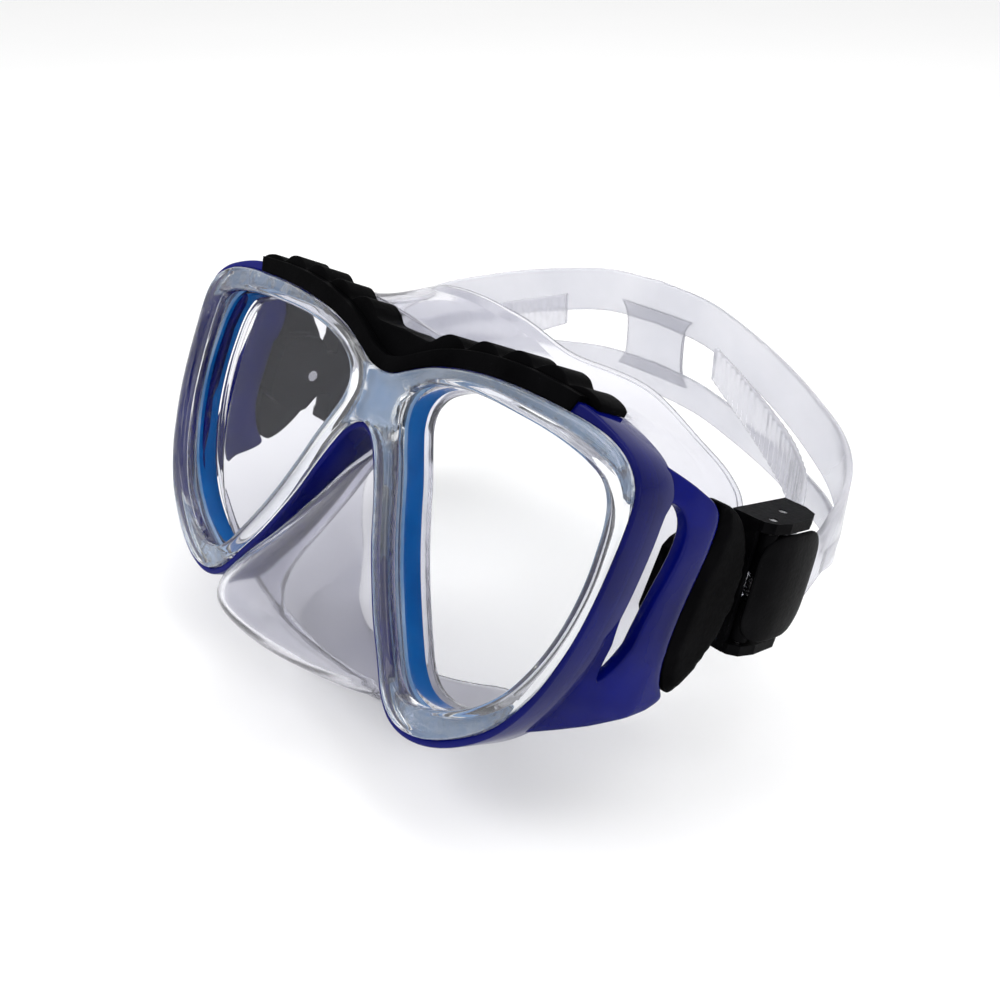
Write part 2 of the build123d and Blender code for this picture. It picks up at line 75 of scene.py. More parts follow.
OPENING = [(72.0, 10), (71.8, 15.5), (71.3, 20.5), (70.0, 24.6), (67.4, 27.6), (63.0, 29.4), (57.0, 30.7),
           (50.0, 31.5), (42.0, 31.9), (34.0, 32.1), (27.0, 31.7), (20.5, 30.6), (14.5, 28.6), (10.4, 25.8),
           (8.6, 22.4), (8.9, 18.6), (10.6, 14.6), (12.6, 10.6), (14.6, 6.4), (16.4, 2.0), (18.6, -3.0),
           (21.0, -8.0), (23.9, -13.4), (27.2, -18.9), (30.6, -24.2), (33.8, -28.6), (37.6, -31.6), (42.4, -32.3),
           (48.6, -30.3), (54.8, -26.8), (60.0, -22.4), (64.0, -17.6), (66.8, -12.6), (69.0, -7.2), (70.6, -1.6),
           (71.6, 4.2)]
BEZEL = [(0, 27.3), (4, 27.9), (9, 30.2), (15, 32.8), (22, 34.7), (30, 36.0), (40, 36.6), (50, 36.5), (60, 35.9),
         (66, 34.7), (70.2, 32.7), (73.2, 29.9), (74.7, 26.4), (75.1, 21), (75.0, 14), (74.6, 7), (73.8, 0),
         (72.3, -7), (70.1, -14), (67.1, -20.2), (63.0, -26.3), (57.3, -31.6), (51.0, -35.8), (45.8, -38.0),
         (41.0, -38.6), (37.4, -37.7), (33.7, -35.0), (28.8, -28.3), (23.8, -21.5), (19.3, -14.0), (15.3, -6.6),
         (12.3, 0.2), (9.6, 5.8), (6.6, 11.0), (3.4, 14.2), (0, 15.4)]
FRAME = [(0, 29.8), (5, 30.9), (10, 33.3), (16, 36.0), (23, 38.0), (31, 39.3), (40, 39.8), (50, 39.4), (59, 38.4),
         (66, 36.4), (71.2, 34.0), (74.6, 30.8), (76.0, 27.0), (76.4, 21), (76.3, 14), (75.9, 7), (75.1, 0),
         (73.7, -7), (71.6, -14), (68.6, -20.8), (64.4, -27.2), (58.6, -32.8), (52.0, -37.2), (46.3, -39.5),
         (41.0, -40.2), (36.5, -39.2), (32.4, -36.1), (27.4, -29.3), (22.4, -22.5), (17.9, -15.0), (13.9, -7.5),
         (10.9, -0.5), (8.2, 5.0), (5.3, 9.8), (2.7, 12.8), (0, 13.9)]


# ------------------------------------------------------------------ curves
def catmull(pts, n, closed=False):
    """n points on a centripetal Catmull-Rom curve, evenly spaced along its length. pts may have any width."""
    p = np.asarray(pts, float)
    m = len(p)
    if closed:
        q = np.vstack([p[-1], p, p[0], p[1]])
        segs = m
    else:
        q = np.vstack([2 * p[0] - p[1], p, 2 * p[-1] - p[-2]])
        segs = m - 1
    out = []
    for i in range(segs):
        p0, p1, p2, p3 = q[i], q[i + 1], q[i + 2], q[i + 3]
        t0 = 0.0
        t1 = t0 + max(1e-6, np.linalg.norm(p1 - p0) ** 0.5)
        t2 = t1 + max(1e-6, np.linalg.norm(p2 - p1) ** 0.5)
        t3 = t2 + max(1e-6, np.linalg.norm(p3 - p2) ** 0.5)
        for u in np.linspace(0, 1, 16, endpoint=False):
            t = t1 + (t2 - t1) * u
            a1 = (t1 - t) / (t1 - t0) * p0 + (t - t0) / (t1 - t0) * p1
            a2 = (t2 - t) / (t2 - t1) * p1 + (t - t1) / (t2 - t1) * p2
            a3 = (t3 - t) / (t3 - t2) * p2 + (t - t2) / (t3 - t2) * p3
            b1 = (t2 - t) / (t2 - t0) * a1 + (t - t0) / (t2 - t0) * a2
            b2 = (t3 - t) / (t3 - t1) * a2 + (t - t1) / (t3 - t1) * a3
            out.append((t2 - t) / (t2 - t1) * b1 + (t - t1) / (t2 - t1) * b2)
    if not closed:
        out.append(p[-1])
    out = np.array(out)
    loop = np.vstack([out, out[:1]]) if closed else out
    d = np.concatenate([[0], np.cumsum(np.linalg.norm(np.diff(loop, axis=0), axis=1))])
    s = np.linspace(0, d[-1], n, endpoint=not closed)
    return np.stack([np.interp(s, d, loop[:, k]) for k in range(loop.shape[1])], 1)


def whole(points, n):
    half = catmull(points, n)
    half[0, 0] = half[-1, 0] = 0
    return np.vstack([half, flip_x(half[-2:0:-1])])


def offset(loop, d):
    nx, pv = np.roll(loop, -1, 0), np.roll(loop, 1, 0)
    area = (loop[:, 0] * nx[:, 1] - nx[:, 0] * loop[:, 1]).sum()
    t = nx - pv
    t /= np.linalg.norm(t, axis=1)[:, None] + 1e-12
    s = 1.0 if area > 0 else -1.0
    return loop + s * d * np.stack([t[:, 1], -t[:, 0]], 1)


def inside(loop, p):
    x, y = p[:, 0][:, None], p[:, 1][:, None]
    ax, ay = loop[:, 0][None], loop[:, 1][None]
    bx, by = np.roll(loop[:, 0], -1)[None], np.roll(loop[:, 1], -1)[None]
    cross = ((ay > y) != (by > y)) & (x < (bx - ax) * (y - ay) / (by - ay + 1e-15) + ax)
    return cross.sum(1) % 2 == 1


def near(loop, p):
    return np.sqrt(((p[:, None, :] - loop[None]) ** 2).sum(2)).min(1)


# ------------------------------------------------------------------ meshes
def make(name, verts, faces, mat, body, nodes=(), smooth=True, angle=None, solid=True):
    name = name.replace(" ", "_")
    me = bpy.data.meshes.new(name)
    me.from_pydata([tuple(v) for v in verts], [], [tuple(int(i) for i in f) for f in faces])
    me.update()
    me.validate()
    import bmesh
    bm = bmesh.new()
    bm.from_mesh(me)
    bmesh.ops.remove_doubles(bm, verts=bm.verts, dist=1e-6)
    if solid:
        rim = [e for e in bm.edges if e.is_boundary]
        if rim:
            bmesh.ops.holes_fill(bm, edges=rim, sides=0)
            bmesh.ops.triangulate(bm, faces=[q for q in bm.faces if len(q.verts) > 4])
    bmesh.ops.recalc_face_normals(bm, faces=bm.faces)
    bm.to_mesh(me)
    bm.free()
    if smooth:
        me.shade_smooth()
        if angle:
            me.set_sharp_from_angle(angle=math.radians(angle))
    o = bpy.data.objects.new(name, me)
    bpy.context.scene.collection.objects.link(o)
    me.materials.append(mat)
    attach(o, body)
    if nodes:
        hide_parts(*nodes)
    return o


def plate(outer, holes, lo, hi, r, place, step=2.5, k=4):
    """Solid between depths lo and hi inside outer and outside holes, with edges rounded to r. Depths may be functions of (a, b). Returns verts, faces."""
    flo = lo if callable(lo) else (lambda p: np.full(len(p), float(lo)))
    fhi = hi if callable(hi) else (lambda p: np.full(len(p), float(hi)))
    loops = [outer] + list(holes)
    verts, faces, base = [], [], 0
    levels = []
    for side in (0, 1):
        seq = range(k, -1, -1) if side == 0 else range(0, k + 1)
        for j in seq:
            ph = math.pi / 2 * j / k
            d, e = r * (1 - math.cos(ph)), r * (1 - math.sin(ph))
            row_ids = []
            for li, lp in enumerate(loops):
                q = offset(lp, -d if li == 0 else d)
                t = flo(lp) + e if side == 0 else fhi(lp) - e
                verts.append(np.column_stack([q, t]))
                row_ids.append((base, len(q)))
                base += len(q)
            levels.append(row_ids)
    for a, b in zip(levels, levels[1:]):
        for (sa, n), (sb, _) in zip(a, b):
            for i in range(n):
                j = (i + 1) % n
                faces.append((sa + i, sa + j, sb + j, sb + i))
    inner = [offset(lp, -r if li == 0 else r) for li, lp in enumerate(loops)]
    lo_c, hi_c = outer.min(0), outer.max(0)
    gx, gy = np.meshgrid(np.arange(lo_c[0], hi_c[0], step), np.arange(lo_c[1], hi_c[1], step))
    g = np.column_stack([gx.ravel(), gy.ravel()])
    keep = inside(inner[0], g)
    for h in inner[1:]:
        keep &= ~inside(h, g)
    g = g[keep]
    if len(g):
        dist = np.min([near(lp, g) for lp in inner], axis=0)
        g = g[dist > 0.55 * step]
    pts, edges = [], []
    for lp in inner:
        s = len(pts)
        pts += [tuple(p) for p in lp]
        edges += [(s + i, s + (i + 1) % len(lp)) for i in range(len(lp))]
    nb = len(pts)
    pts += [tuple(p) for p in g]
    res = delaunay_2d_cdt([Vector(p) for p in pts], edges, [], 1, 1e-7, True)
    rv, rf, orig = res[0], res[2], res[3]
    tri = np.array([f for f in rf if len(f) == 3])
    xy = np.array([tuple(v) for v in rv])
    cen = xy[tri].mean(1)
    ok = inside(inner[0], cen)
    for h in inner[1:]:
        ok &= ~inside(h, cen)
    tri = tri[ok]
    # match result vertices to the ring vertices by position
    for side, lev in ((0, levels[0]), (1, levels[-1])):
        ids = {}
        flat = []
        for (s, n) in lev:
            flat += list(range(s, s + n))
        extra = {}
        for vi in range(len(xy)):
            src = [o for o in orig[vi] if o < nb]
            if src:
                ids[vi] = flat[src[0]]
            else:
                t = (flo if side == 0 else fhi)(xy[vi:vi + 1])[0]
                verts.append(np.array([[xy[vi][0], xy[vi][1], t]]))
                ids[vi] = base
                base += 1
        for a, b, c in tri:
            faces.append((ids[a], ids[b], ids[c]))
    v = np.vstack(verts)
    return place(v[:, :2], v[:, 2]), faces


def on_front(p, t):
    """(x, z) and depth y, upright."""
    return row(np.column_stack([p[:, 0], t, p[:, 1]]))


def on_side(sign):
    def f(p, t):
        return row(np.column_stack([sign * t, p[:, 0], p[:, 1]]))
    return f


def grid(points, closed_u=False, closed_v=False):
    """(rows, cols, 3) to verts and quads."""
    r, c = points.shape[:2]
    faces = []
    for i in range(r if closed_u else r - 1):
        for j in range(c if closed_v else c - 1):
            i2, j2 = (i + 1) % r, (j + 1) % c
            faces.append((i * c + j, i * c + j2, i2 * c + j2, i2 * c + j))
    return points.reshape(-1, 3), faces


# ------------------------------------------------------------------ materials
def material(name, base, rough, second=None, scale=60.0, bump=0.05, bump_scale=400.0, rough_var=0.08, **sockets):
    m = bpy.data.materials.new(name)
    m.use_nodes = True
    nt = m.node_tree
    b = nt.nodes["Principled BSDF"]
    tc = nt.nodes.new("ShaderNodeTexCoord")
    n1 = nt.nodes.new("ShaderNodeTexNoise")
    n1.inputs["Scale"].default_value = scale
    n1.inputs["Detail"].default_value = 5.0
    nt.links.new(tc.outputs["Object"], n1.inputs["Vector"])
    ramp = nt.nodes.new("ShaderNodeValToRGB")
    second = second or tuple(min(1.0, c * 1.12 + 0.004) for c in base)
    ramp.color_ramp.elements[0].position = 0.35
    ramp.color_ramp.elements[0].color = (*base, 1)
    ramp.color_ramp.elements[1].position = 0.68
    ramp.color_ramp.elements[1].color = (*second, 1)
    nt.links.new(n1.outputs["Fac"], ramp.inputs["Fac"])
    nt.links.new(ramp.outputs["Color"], b.inputs["Base Color"])
    mr = nt.nodes.new("ShaderNodeMapRange")
    mr.inputs["To Min"].default_value = max(0.0, rough - rough_var)
    mr.inputs["To Max"].default_value = min(1.0, rough + rough_var)
    n2 = nt.nodes.new("ShaderNodeTexNoise")
    n2.inputs["Scale"].default_value = bump_scale
    n2.inputs["Detail"].default_value = 4.0
    nt.links.new(tc.outputs["Object"], n2.inputs["Vector"])
    nt.links.new(n2.outputs["Fac"], mr.inputs["Value"])
    nt.links.new(mr.outputs["Result"], b.inputs["Roughness"])
    bp = nt.nodes.new("ShaderNodeBump")
    bp.inputs["Strength"].default_value = bump
    bp.inputs["Distance"].default_value = 0.0004
    nt.links.new(n2.outputs["Fac"], bp.inputs["Height"])
    nt.links.new(bp.outputs["Normal"], b.inputs["Normal"])
    for k, v in sockets.items():
        b.inputs[k.replace("_", " ")].default_value = v
    return m


BLUE = material("blue polycarbonate", (0.0012, 0.0025, 0.095), 0.10, (0.0025, 0.007, 0.21), 30, 0.006, 120, 0.04,
                Transmission_Weight=0.4, IOR=1.26, Specular_IOR_Level=0.12, Coat_Weight=0.03, Coat_Roughness=0.03)
# brighter copy of the blue polycarbonate for the frame ring's inner wall by the lens seat: painted glow of light
# shining through the translucent blue
GLOW_PAINTED_BLUE = material("blue inner wall with painted glow", (0.0, 0.105, 0.42), 0.16, (0.01, 0.19, 0.62), 45, 0.003, 90, 0.04,
                  IOR=1.3, Specular_IOR_Level=0.15)
# paler copy of the blue polycarbonate for the frame ring's front face under the clear bezel: painted highlight of light
# scattered and reflected through the bezel
HIGHLIGHT_PAINTED_BLUE = material("blue ring face with painted highlight", (0.10, 0.25, 0.52), 0.3, (0.34, 0.48, 0.70), 70, 0.01, 120, 0.06,
                IOR=1.3, Specular_IOR_Level=0.3)
CLEAR = material("clear polycarbonate", (0.95, 0.97, 0.99), 0.04, (0.985, 0.99, 1.0), 40, 0.004, 90, 0.03,
                 Transmission_Weight=1.0, IOR=1.22, Coat_Weight=0.8, Coat_Roughness=0.03)
GLASS = material("tempered glass", (0.985, 0.99, 0.992), 0.02, (1.0, 1.0, 1.0), 20, 0.004, 60, 0.02,
                 Transmission_Weight=1.0, IOR=1.06)
COLLAR = material("thin clear silicone", (0.95, 0.965, 0.99), 0.08, (0.99, 0.99, 1.0), 30, 0.003, 90, 0.04,
                  Transmission_Weight=1.0, IOR=1.04, Specular_IOR_Level=0.2)
SILICONE = material("clear silicone skirt", (0.79, 0.79, 0.84), 0.11, (0.87, 0.87, 0.905), 22, 0.004, 60, 0.04,
                    Transmission_Weight=0.95, IOR=1.16)
NOSE_SIL = SILICONE
STRAP_SIL = material("clear silicone strap", (0.76, 0.765, 0.815), 0.2, (0.86, 0.86, 0.90), 40, 0.004, 80, 0.05,
                     Transmission_Weight=0.7, IOR=1.26)
BROW = material("black brow rubber", (0.0006, 0.0006, 0.0008), 0.55, (0.0022, 0.0022, 0.0026), 90, 0.2, 900, 0.1,
                IOR=1.15, Specular_IOR_Level=0.1)
NYLON = material("black nylon", (0.0006, 0.0006, 0.0009), 0.42, (0.0025, 0.0025, 0.003), 120, 0.15, 1100, 0.1,
                 IOR=1.17, Specular_IOR_Level=0.14)
STEEL = material("ground pin steel", (0.52, 0.52, 0.53), 0.28, (0.66, 0.66, 0.67), 200, 0.1, 900, 0.08, Metallic=1.0)

# ------------------------------------------------------------------ profiles
open_r = catmull(OPENING, 150, True)
collar_r = offset(open_r, 1.25)
glass_r = offset(open_r, 1.7)
well_r = offset(open_r, 1.9)
bezel_l = whole(BEZEL, 150)
frame_l = whole(FRAME, 150)


def mir(loop):
    return flip_x(loop)[::-1]


# lenses
for s, side in ((1, "right"), (-1, "left")):
    lp = glass_r if s > 0 else mir(glass_r)
    v, f = plate(lp, [], -0.5, 2.6, 0.25, on_front, 4.0, 2)
    make("glass " + side, v, f, GLASS, "mask", ["lens_" + side], angle=40)

# clear bezel: lip over the glass edge and the ring behind it
v, f = plate(bezel_l, [open_r, mir(open_r)], -4.5, -0.6, 1.0, on_front, 3.0, 4)
lip = make("bezel lip", v, f, CLEAR, "mask", ["front_bezel"], angle=50)
v, f = plate(offset(bezel_l, -0.15), [well_r, mir(well_r)], -0.6, 2.7, 0.1, on_front, 3.0, 1)
make("bezel ring", v, f, CLEAR, "mask", angle=50)

def ring_back(p):
    w = np.clip((p[:, 0].__abs__() - 73.4) / 0.8, 0, 1) * np.clip((p[:, 1] + 6) / 4, 0, 1) * np.clip((28 - p[:, 1]) / 3, 0, 1)
    return 8.4 - 1.6 * w


# blue frame: thin wall round the bezel, lens ring behind it
v, f = plate(frame_l, [offset(bezel_l, 0.06)[::-1]], -3.0, lambda p: ring_back(p) - 0.03, 0.45, on_front, 3.0, 3)
make("frame wall", v, f, BLUE, "mask", ["main_frame"], angle=50)
seat = offset(open_r, 1.3)


v, f = plate(offset(frame_l, -0.25), [seat, mir(seat)], 2.8, ring_back, 0.5, on_front, 3.0, 3)
ring_o = make("frame ring", v, f, BLUE, "mask", angle=50)
ring_o.data.materials.append(GLOW_PAINTED_BLUE)
ring_o.data.materials.append(HIGHLIGHT_PAINTED_BLUE)
for poly in ring_o.data.polygons:
    c = poly.center * 1000
    yy, zz = c.y - Y_SHIFT, c.z - FLOOR
    q = np.array([[abs(c.x), -yy * SL + zz * CL]])
    # front-facing faces of the ring get the paler blue copy, a painted highlight
    if yy * CL + zz * SL < 3.1:
        poly.material_index = 2
    # faces within 0.9 mm of the lens seat get the brighter blue copy, a painted glow of light through the frame
    elif near(seat, q)[0] < 0.9:
        poly.material_index = 1

# side arms
ARM_Y = np.array([4.0, 8.0, 14.0, 20.0, 30.0])
ARM_Z = np.array([-34.0, -16.0, -2.0, 18.0, 38.0])
ARM_X = np.array([[58.0, 62.0, 67.5, 72.0, 75.0], [69.6, 72.4, 75.4, 77.4, 78.0], [74.2, 76.0, 77.7, 78.4, 78.4],
                  [74.8, 76.4, 77.8, 78.4, 78.4], [69.0, 71.5, 75.2, 77.4, 78.2]])


def arm_x(p):
    cols = np.stack([np.interp(p[:, 0], ARM_Y, ARM_X[i]) for i in range(5)], 1)
    out = np.empty(len(p))
    for i in range(len(p)):
        out[i] = np.interp(p[i, 1], ARM_Z, cols[i])
    return out


SIDE = [(4.0, 34.0), (8, 33.4), (12, 32.2), (16, 30.8), (19.5, 29.4), (22.0, 27.4), (23.0, 24.0), (22.6, 15.0),
        (21.9, 5.0), (22.6, -3.0), (25.0, -9.0), (28.0, -13.0), (25.5, -15.4), (20.0, -18.0), (14.0, -21.6),
        (8.4, -25.6), (4.0, -28.6)]
WINDOW = [(6.9, 25.0), (8.4, 26.8), (10.6, 27.2), (12.8, 26.0), (14.8, 22.4), (14.4, 16.0), (13.3, 9.0), (12.5, 2.0),
          (12.0, -3.4), (10.9, -8.0), (9.4, -10.6), (8.5, -9.0), (7.4, -3.0), (6.8, 4.0), (6.7, 16.0)]
side_c = catmull(SIDE[1:-1], 120)
side_l = np.vstack([side_c, [[4.0, -28.6], [4.0, -20], [4.0, -10], [4.0, 0], [4.0, 10], [4.0, 20], [4.0, 28], [4.0, 34.0]]])
side_l = catmull(side_l, 170, True)
win_l = catmull(WINDOW, 70, True)
for s, side in ((1, "right"), (-1, "left")):
    v, f = plate(side_l, [win_l], lambda p: arm_x(p) - 3.2, lambda p: arm_x(p), 0.6, on_side(s), 1.6, 3)
    make("arm " + side, v, f, BLUE, "mask", angle=50)

# crescents
BUMP = [(20.6, 29.6), (24.5, 29.4), (29.0, 27.8), (33.4, 24.8), (36.8, 20.6), (39.0, 15.4), (39.9, 9.6), (39.4, 3.6),
        (37.6, -2.0), (34.6, -7.0), (31.8, -10.2), (29.3, -11.7), (27.2, -11.0), (25.1, -8.2), (22.9, -2.95),
        (22.2, 5.0), (22.9, 15.0), (23.3, 24.05), (22.2, 27.6)]
bump_l = catmull(BUMP, 150, True)


def bump_out(p):
    d = np.clip(near(bump_l, p) / 4.0, 0, 1)
    return 78.4 + 1.1 * np.sqrt(1 - (1 - d) ** 2)


for s, side in ((1, "right"), (-1, "left")):
    v, f = plate(bump_l, [], 74.6, bump_out, 0.6, on_side(s), 1.2, 3)
    make("crescent " + side, v, f, BROW, "mask", ["side_bumper_" + side], angle=60)

# brow guard: crowned ribbed strip
CREST = [(0, 37.7), (6, 37.4), (9.6, 37.6), (12.2, 39.6), (15.0, 40.8), (18.0, 40.4), (20.4, 39.2), (22.4, 40.9),
         (25.0, 42.3), (28.0, 42.0), (30.4, 40.6), (32.2, 42.0), (34.8, 43.3), (37.8, 43.0), (40.2, 41.3),
         (42.0, 42.4), (44.6, 43.4), (47.6, 42.8), (49.8, 41.0), (51.6, 41.4), (54.0, 41.6), (56.6, 41.1),
         (58.2, 40.4), (59.0, 39.7)]
crest = catmull(CREST, 120)
fo = offset(frame_l, 0.06)
base_c = fo[(fo[:, 0] >= 0) & (fo[:, 0] < 59) & (fo[:, 1] > 25)]
base_c = base_c[np.argsort(-base_c[:, 0])]
base_c[-1, 0] = 0
half = np.vstack([crest[1:], base_c])
brow_l = np.vstack([[[0, crest[0, 1]]], half, flip_x(half[:-1][::-1])])
v, f = plate(brow_l, [], -1.2, 7.8, 0.35, on_front, 1.6, 4)
make("brow strip", v, f, BROW, "mask", ["brow_guard"], angle=60)

# the guard's front flange, which laps the frame's rim down to the bezel
def over_top(loop, lim):
    q = loop[(np.abs(loop[:, 0]) < lim) & (loop[:, 1] > 24)]
    return q[np.argsort(q[:, 0])]


v, f = plate(np.vstack([over_top(offset(bezel_l, 0.25), 55.5), over_top(offset(frame_l, 1.25), 57.0)[::-1]]), [], -3.75, -3.03,
             0.3, on_front, 1.6, 3)
v2, f2 = plate(np.vstack([over_top(offset(frame_l, 0.06), 56.8), over_top(offset(frame_l, 1.25), 57.0)[::-1]]), [], -3.6, -0.6,
               0.25, on_front, 1.6, 3)
f = f + [tuple(i + len(v) for i in q) for q in f2]
make("brow flange", np.vstack([v, v2]), f, BROW, "mask", angle=60)

# ------------------------------------------------------------------ skirt
SECT = {
    8.5: [(0, 39.0), (14, 40.3), (28, 40.9), (40, 40.9), (53, 38.9), (62.6, 33.6), (67.6, 25), (68.2, 10), (66.8, -4),
          (62.6, -17), (55.5, -27), (46, -34.5), (34, -39.5), (22, -43), (10, -45), (0, -45.3)],
    13.0: [(0, 47.5), (14, 45.8), (28, 41.8), (40, 40.6), (53, 38.6), (61.5, 34.0), (65.6, 26), (66.2, 10), (65.4, -4),
           (61.6, -17), (54.8, -27.5), (45, -36), (34, -42), (22, -45.5), (10, -47), (0, -47.2)],
    22.0: [(0, 51.6), (14, 50.0), (28, 43.4), (40, 40.2), (53, 38.0), (61.5, 33.4), (65.8, 26), (66.2, 10), (65.4, -3),
           (62, -15), (56, -25.5), (46, -36.5), (35, -45), (24, -48.6), (10, -48.9), (0, -48.9)],
    40.0: [(0, 52.0), (14, 51.8), (28, 49.4), (40, 45.2), (53, 38.0), (61.5, 32.6), (65.4, 25.6), (66.2, 10), (65.4, -2),
           (62.6, -12), (57, -21.5), (48, -31), (40, -37.6), (30, -39.8), (12, -39.9), (0, -39.9)],
    60.0: [(0, 50.0), (14, 50.0), (28, 48.0), (40, 44.4), (53, 37.6), (61.5, 31.6), (65, 24.6), (65.8, 12), (65, 1),
           (62.6, -7), (57, -15), (48, -23), (38, -28.6), (28, -29.6), (12, -29.6), (0, -29.6)],
}
CUT = np.array([(0, 17), (12, 18.2), (24, 23.5), (34, 31), (42, 36.5), (50, 40), (57, 43.5), (62, 47), (66, 51), (80, 64)], float)
cut_c = catmull(CUT, 80)
ys = sorted(SECT)
ctrl = np.array([SECT[y] + [(-a, b) for a, b in SECT[y][::-1] if a > 0.01] for y in ys], float)


def uniform_loop(c, per=8):
    """Uniform Catmull-Rom through closed control points, per points a span."""
    n = len(c)
    p0, p1, p2, p3 = np.roll(c, 1, 0), c, np.roll(c, -1, 0), np.roll(c, -2, 0)
    out = []
    for u in np.arange(per) / per:
        out.append(0.5 * (2 * p1 + (-p0 + p2) * u + (2 * p0 - 5 * p1 + 4 * p2 - p3) * u * u + (-p0 + 3 * p1 - 3 * p2 + p3) * u ** 3))
    return np.stack(out, 1).reshape(n * per, 2)


lev_y = np.concatenate([np.linspace(8.5, 24, 32, endpoint=False), np.linspace(24, 72, 40)])
lev = []
for y in lev_y:
    k = min(max(np.searchsorted(ys, y) - 1, 0), len(ys) - 2)
    y0, y1 = ys[k], ys[k + 1]
    u = (y - y0) / (y1 - y0)
    m0 = (ctrl[k + 1] - ctrl[k - 1]) / (ys[k + 1] - ys[k - 1]) if k > 0 else (ctrl[1] - ctrl[0]) / (ys[1] - ys[0]) * 1.4
    m1 = (ctrl[k + 2] - ctrl[k]) / (ys[k + 2] - ys[k]) if k + 2 < len(ys) else (ctrl[k + 1] - ctrl[k]) / (y1 - y0)
    h = y1 - y0
    u2, u3 = u * u, u ** 3
    if u <= 1:
        c = (2 * u3 - 3 * u2 + 1) * ctrl[k] + (u3 - 2 * u2 + u) * h * m0 + (-2 * u3 + 3 * u2) * ctrl[k + 1] + (u3 - u2) * h * m1
    else:
        c = ctrl[k + 1] + (u - 1) * h * m1
    lev.append(uniform_loop(c))
lev = np.array(lev)                       # levels, theta, (x, z)
NT = lev.shape[1]
rows = []
NS = 46
for i in range(NT):
    x, z = lev[:, i, 0], lev[:, i, 1]
    cut = np.interp(np.abs(x), cut_c[:, 0], cut_c[:, 1]) + 0.155 * (50 - z)
    d = lev_y - cut
    k = int(np.argmax(d > 0)) if (d > 0).any() else len(d) - 1
    if k == 0:
        ye = lev_y[0]
    else:
        ye = lev_y[k - 1] + (lev_y[k] - lev_y[k - 1]) * (-d[k - 1]) / (d[k] - d[k - 1] + 1e-9)
    yy = 8.5 + (ye - 8.5) * np.linspace(0, 1, NS)
    rows.append(np.column_stack([np.interp(yy, lev_y, x), yy, np.interp(yy, lev_y, z)]))
skin = np.transpose(np.array(rows), (1, 0, 2))          # s, theta, xyz
skin = row(skin)
skin[..., 2] = np.maximum(skin[..., 2], 0.00002)
pts, faces = grid(skin, False, True)
make_s = make("skirt skin", pts, faces, SILICONE, "mask", ["skirt"], solid=False)
vg = make_s.vertex_groups.new(name="thick")
co = np.empty(len(make_s.data.vertices) * 3)
make_s.data.vertices.foreach_get("co", co)
co = co.reshape(-1, 3)
key = {tuple(np.round(p, 7)): i // NT for i, p in enumerate(pts)}
for i, p in enumerate(co):
    s = key.get(tuple(np.round(p, 7)))
    if s is None:
        s = int(np.argmin(((pts - p) ** 2).sum(1))) // NT
    w = 1.0 if s < NS - 14 else 1.0 - 0.55 * (s - (NS - 14)) / 13
    if s >= NS - 2:
        w = 0.75
    vg.add([i], w, "REPLACE")
mod = make_s.modifiers.new("thick", "SOLIDIFY")
mod.thickness = 0.0016
mod.offset = -1
mod.vertex_group = "thick"
mod.use_rim = True

# plate behind the frame with both eye holes and the nose hole
NOSE = [(9.0, 4.2, 3.4), (3.0, 7.2, -1.4), (-4.0, 10.4, -5.4), (-11.0, 14.0, -9.4), (-18.0, 17.8, -13.6),
        (-25.0, 21.6, -18.8), (-30.0, 23.6, -21.6), (-33.5, 24.2, -21.4), (-37.0, 24.0, -17.4), (-40.0, 22.6, -10.4),
        (-42.6, 20.6, -2.0), (-43.6, 19.4, 4.0)]
nose_c = catmull([(a, b, c) for a, b, c in NOSE], 60)
tk = np.linspace(-1, 1, 49)


def nose_row(z, w, front, back=8.7):
    d = front - back
    ang = tk * math.pi / 2
    x = w * np.sign(np.sin(ang)) * np.abs(np.sin(ang)) ** 0.92
    y = back + d * np.cos(ang) ** 0.86
    return np.column_stack([x, y, np.full(len(tk), z)])


nrows = [nose_row(*r) for r in nose_c]
top = [nose_row(9.0 + dz, 4.2 * k, 3.4 + (8.7 - 3.4) * (1 - k)) for dz, k in ((2.0, 0.25), (1.6, 0.6), (0.9, 0.87))]
low = [nose_row(-43.6 - dz, 19.4 * (0.8 + 0.2 * k), 4.0 + (8.7 - 4.0) * (1 - k)) for dz, k in ((0.3, 0.7), (0.5, 0.35), (0.6, 0.05))]
nose = np.array(top + nrows + low)
pts, faces = grid(row(nose))
nose_o = make("nose pocket", pts, faces, NOSE_SIL, "mask", solid=False)
mod = nose_o.modifiers.new("thick", "SOLIDIFY")
mod.thickness = 0.0015
mod.offset = -1
hole = np.array([(w, z) for z, w, _ in nose_c])
hole = np.vstack([[[0, 10.2]], hole[1:-1], [[0, -44.2]], flip_x(hole[1:-1])[::-1]])
low_edge = np.interp(np.abs(hole[:, 0]), [0, 10, 22, 34], [-45.3, -45.0, -43.0, -39.5]) + 1.7
hole[:, 1] = np.maximum(hole[:, 1], low_edge)
hole = catmull(hole, 120, True)
hole = offset(hole, -0.4)
sec0 = uniform_loop(ctrl[0])
eye = [open_r, mir(open_r)]
